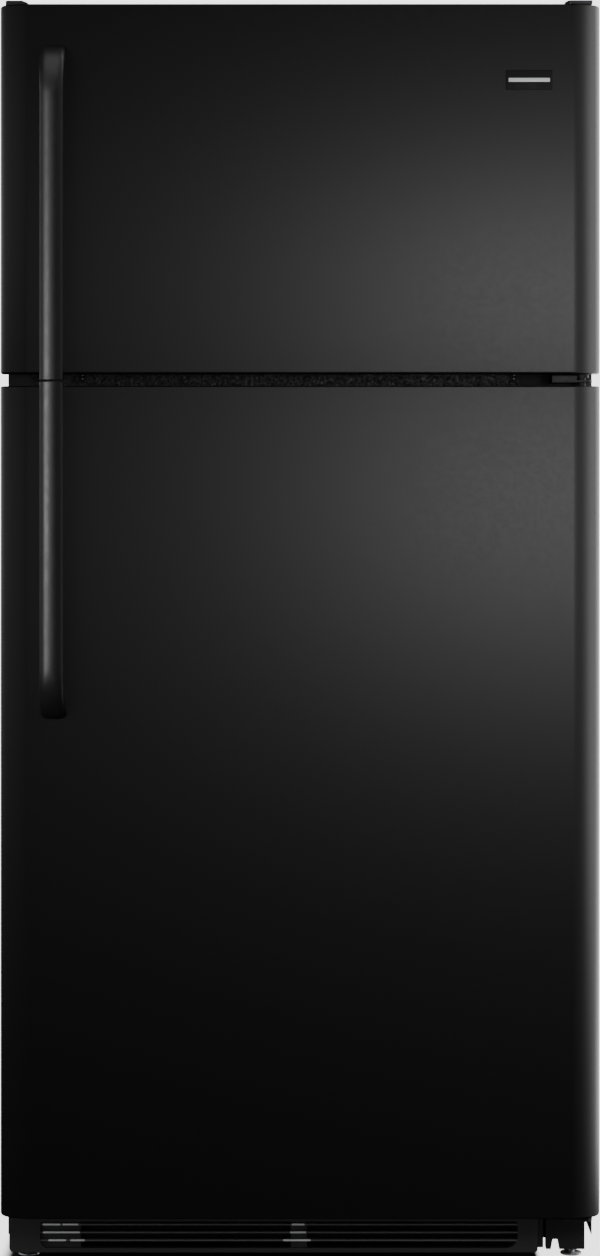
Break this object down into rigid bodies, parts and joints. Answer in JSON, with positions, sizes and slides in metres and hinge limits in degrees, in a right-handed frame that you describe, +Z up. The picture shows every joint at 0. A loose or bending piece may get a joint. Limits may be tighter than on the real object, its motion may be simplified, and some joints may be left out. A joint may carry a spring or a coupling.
{
  "type": "top freezer refrigerator",
  "caption": "Top freezer refrigerator with right-hinged doors, bar handles, shelves, crisper drawers, door bins and a fan-cooled machine compartment.",
  "frame": {"origin": "middle of the footprint on the floor", "axes": "+X to the right as seen from the front, +Y to the back, +Z up"},
  "size_m": [0.762, 0.77, 1.6145],
  "materials": {
    "door_paint": "satin",
    "cabinet_paint": "textured satin",
    "black_plastic": "satin",
    "nameplate_gloss": "gloss",
    "liner": "satin",
    "white_plastic": "satin",
    "clear_plastic": "clear",
    "shelf_glass": "clear",
    "seal": "matt",
    "foam": "matt",
    "zinc_steel": "zinc plated",
    "coil_paint": "satin",
    "compressor_paint": "gloss",
    "aluminium": "mill",
    "board": "matt",
    "white_wire": "coated"
  },
  "bodies": {
    "cabinet": {"cabinet_shell": "cabinet_paint", "mullion_cover": "cabinet_paint", "top_hinge": "cabinet_paint", "center_hinge": "cabinet_paint", "bottom_hinge": "cabinet_paint", "toe_grille": "black_plastic", "top_hinge_cover": "black_plastic", "top_blank_cover": "black_plastic", "evaporator_fan_motor": "black_plastic", "drain_pan": "black_plastic", "freezer_liner": "liner", "fresh_food_liner": "liner", "evaporator_cover": "liner", "shelf_frame_upper": "white_plastic", "shelf_frame_lower": "white_plastic", "crisper_cover": "white_plastic", "control_housing": "white_plastic", "shelf_glass_upper": "shelf_glass", "shelf_glass_lower": "shelf_glass", "foam_insulation": "foam", "rear_panel": "zinc_steel", "base_frame": "zinc_steel", "roller_bracket_left": "zinc_steel", "roller_bracket_right": "zinc_steel", "condenser_fan_motor": "zinc_steel", "condenser_coil": "coil_paint", "compressor": "compressor_paint", "evaporator_coil": "aluminium", "machine_cover": "board", "freezer_shelf": "white_wire"},
    "freezer_door": {"freezer_door_panel": "door_paint", "freezer_door_foam": "foam", "freezer_door_liner": "liner", "freezer_door_gasket": "seal", "freezer_handle": "black_plastic", "freezer_door_rack": "white_plastic", "nameplate": "nameplate_gloss"},
    "fridge_door": {"fridge_door_panel": "door_paint", "fridge_door_foam": "foam", "fridge_door_liner": "liner", "fridge_door_gasket": "seal", "fridge_handle": "black_plastic", "door_bin_upper": "clear_plastic", "door_bin_lower": "clear_plastic"},
    "dairy_lid": {"dairy_lid": "clear_plastic"},
    "crisper_drawer_left": {"crisper_drawer_left": "clear_plastic"},
    "crisper_drawer_right": {"crisper_drawer_right": "clear_plastic"},
    "humidity_slide_left": {"humidity_slide_left": "black_plastic"},
    "humidity_slide_right": {"humidity_slide_right": "black_plastic"},
    "freezer_knob": {"freezer_knob": "white_plastic"},
    "fridge_knob": {"fridge_knob": "white_plastic"},
    "light_switch": {"light_switch": "white_plastic"},
    "front_roller_left": {"front_roller_left": "black_plastic"},
    "front_roller_right": {"front_roller_right": "black_plastic"},
    "rear_roller_left": {"rear_roller_left": "black_plastic"},
    "rear_roller_right": {"rear_roller_right": "black_plastic"},
    "leveling_leg_left": {"leveling_leg_left": "zinc_steel"},
    "leveling_leg_right": {"leveling_leg_right": "zinc_steel"},
    "condenser_fan": {"condenser_fan": "black_plastic"},
    "evaporator_fan": {"evaporator_fan": "black_plastic"}
  },
  "joints": [
    {"name": "freezer_door_hinge", "type": "hinge", "parent": "cabinet", "child": "freezer_door", "pos_m": [0.358, -0.3, 1.3675], "axis": [0, 0, 1], "range_deg": [0, 125]},
    {"name": "fridge_door_hinge", "type": "hinge", "parent": "cabinet", "child": "fridge_door", "pos_m": [0.358, -0.3, 0.5945], "axis": [0, 0, 1], "range_deg": [0, 125]},
    {"name": "dairy_lid_hinge", "type": "hinge", "parent": "fridge_door", "child": "dairy_lid", "pos_m": [-0.159, -0.2, 1.036], "axis": [1, 0, 0], "range_deg": [0, 80]},
    {"name": "crisper_drawer_left_slide", "type": "slide", "parent": "cabinet", "child": "crisper_drawer_left", "axis": [0, -1, 0], "range_m": [0, 0.1]},
    {"name": "crisper_drawer_right_slide", "type": "slide", "parent": "cabinet", "child": "crisper_drawer_right", "axis": [0, -1, 0], "range_m": [0, 0.1]},
    {"name": "humidity_slide_left_slide", "type": "slide", "parent": "cabinet", "child": "humidity_slide_left", "axis": [1, 0, 0], "range_m": [0, 0.06]},
    {"name": "humidity_slide_right_slide", "type": "slide", "parent": "cabinet", "child": "humidity_slide_right", "axis": [1, 0, 0], "range_m": [0, 0.06]},
    {"name": "freezer_knob_turn", "type": "hinge", "parent": "cabinet", "child": "freezer_knob", "pos_m": [-0.09, -0.05, 1.066], "axis": [0, -1, 0], "range_deg": [-135, 135]},
    {"name": "fridge_knob_turn", "type": "hinge", "parent": "cabinet", "child": "fridge_knob", "pos_m": [0.09, -0.05, 1.066], "axis": [0, -1, 0], "range_deg": [-135, 135]},
    {"name": "light_switch_press", "type": "slide", "parent": "cabinet", "child": "light_switch", "axis": [0, 1, 0], "range_m": [0, 0.005], "stiffness_N_per_m": 200},
    {"name": "front_roller_left_roll", "type": "hinge", "parent": "cabinet", "child": "front_roller_left", "pos_m": [-0.35, -0.19, 0.0205], "axis": [1, 0, 0], "continuous": true},
    {"name": "front_roller_right_roll", "type": "hinge", "parent": "cabinet", "child": "front_roller_right", "pos_m": [0.35, -0.19, 0.0205], "axis": [1, 0, 0], "continuous": true},
    {"name": "rear_roller_left_roll", "type": "hinge", "parent": "cabinet", "child": "rear_roller_left", "pos_m": [-0.355, 0.33, 0.02], "axis": [1, 0, 0], "continuous": true},
    {"name": "rear_roller_right_roll", "type": "hinge", "parent": "cabinet", "child": "rear_roller_right", "pos_m": [0.355, 0.33, 0.02], "axis": [1, 0, 0], "continuous": true},
    {"name": "leveling_leg_left_turn", "type": "hinge", "parent": "cabinet", "child": "leveling_leg_left", "pos_m": [-0.35, -0.236, 0.03], "axis": [0, 0, 1], "continuous": true},
    {"name": "leveling_leg_right_turn", "type": "hinge", "parent": "cabinet", "child": "leveling_leg_right", "pos_m": [0.35, -0.236, 0.03], "axis": [0, 0, 1], "continuous": true},
    {"name": "condenser_fan_spin", "type": "hinge", "parent": "cabinet", "child": "condenser_fan", "pos_m": [-0.045, 0.29, 0.15], "axis": [1, 0, 0], "continuous": true},
    {"name": "evaporator_fan_spin", "type": "hinge", "parent": "cabinet", "child": "evaporator_fan", "pos_m": [0, 0.28, 1.43], "axis": [0, 1, 0], "continuous": true}
  ]
}
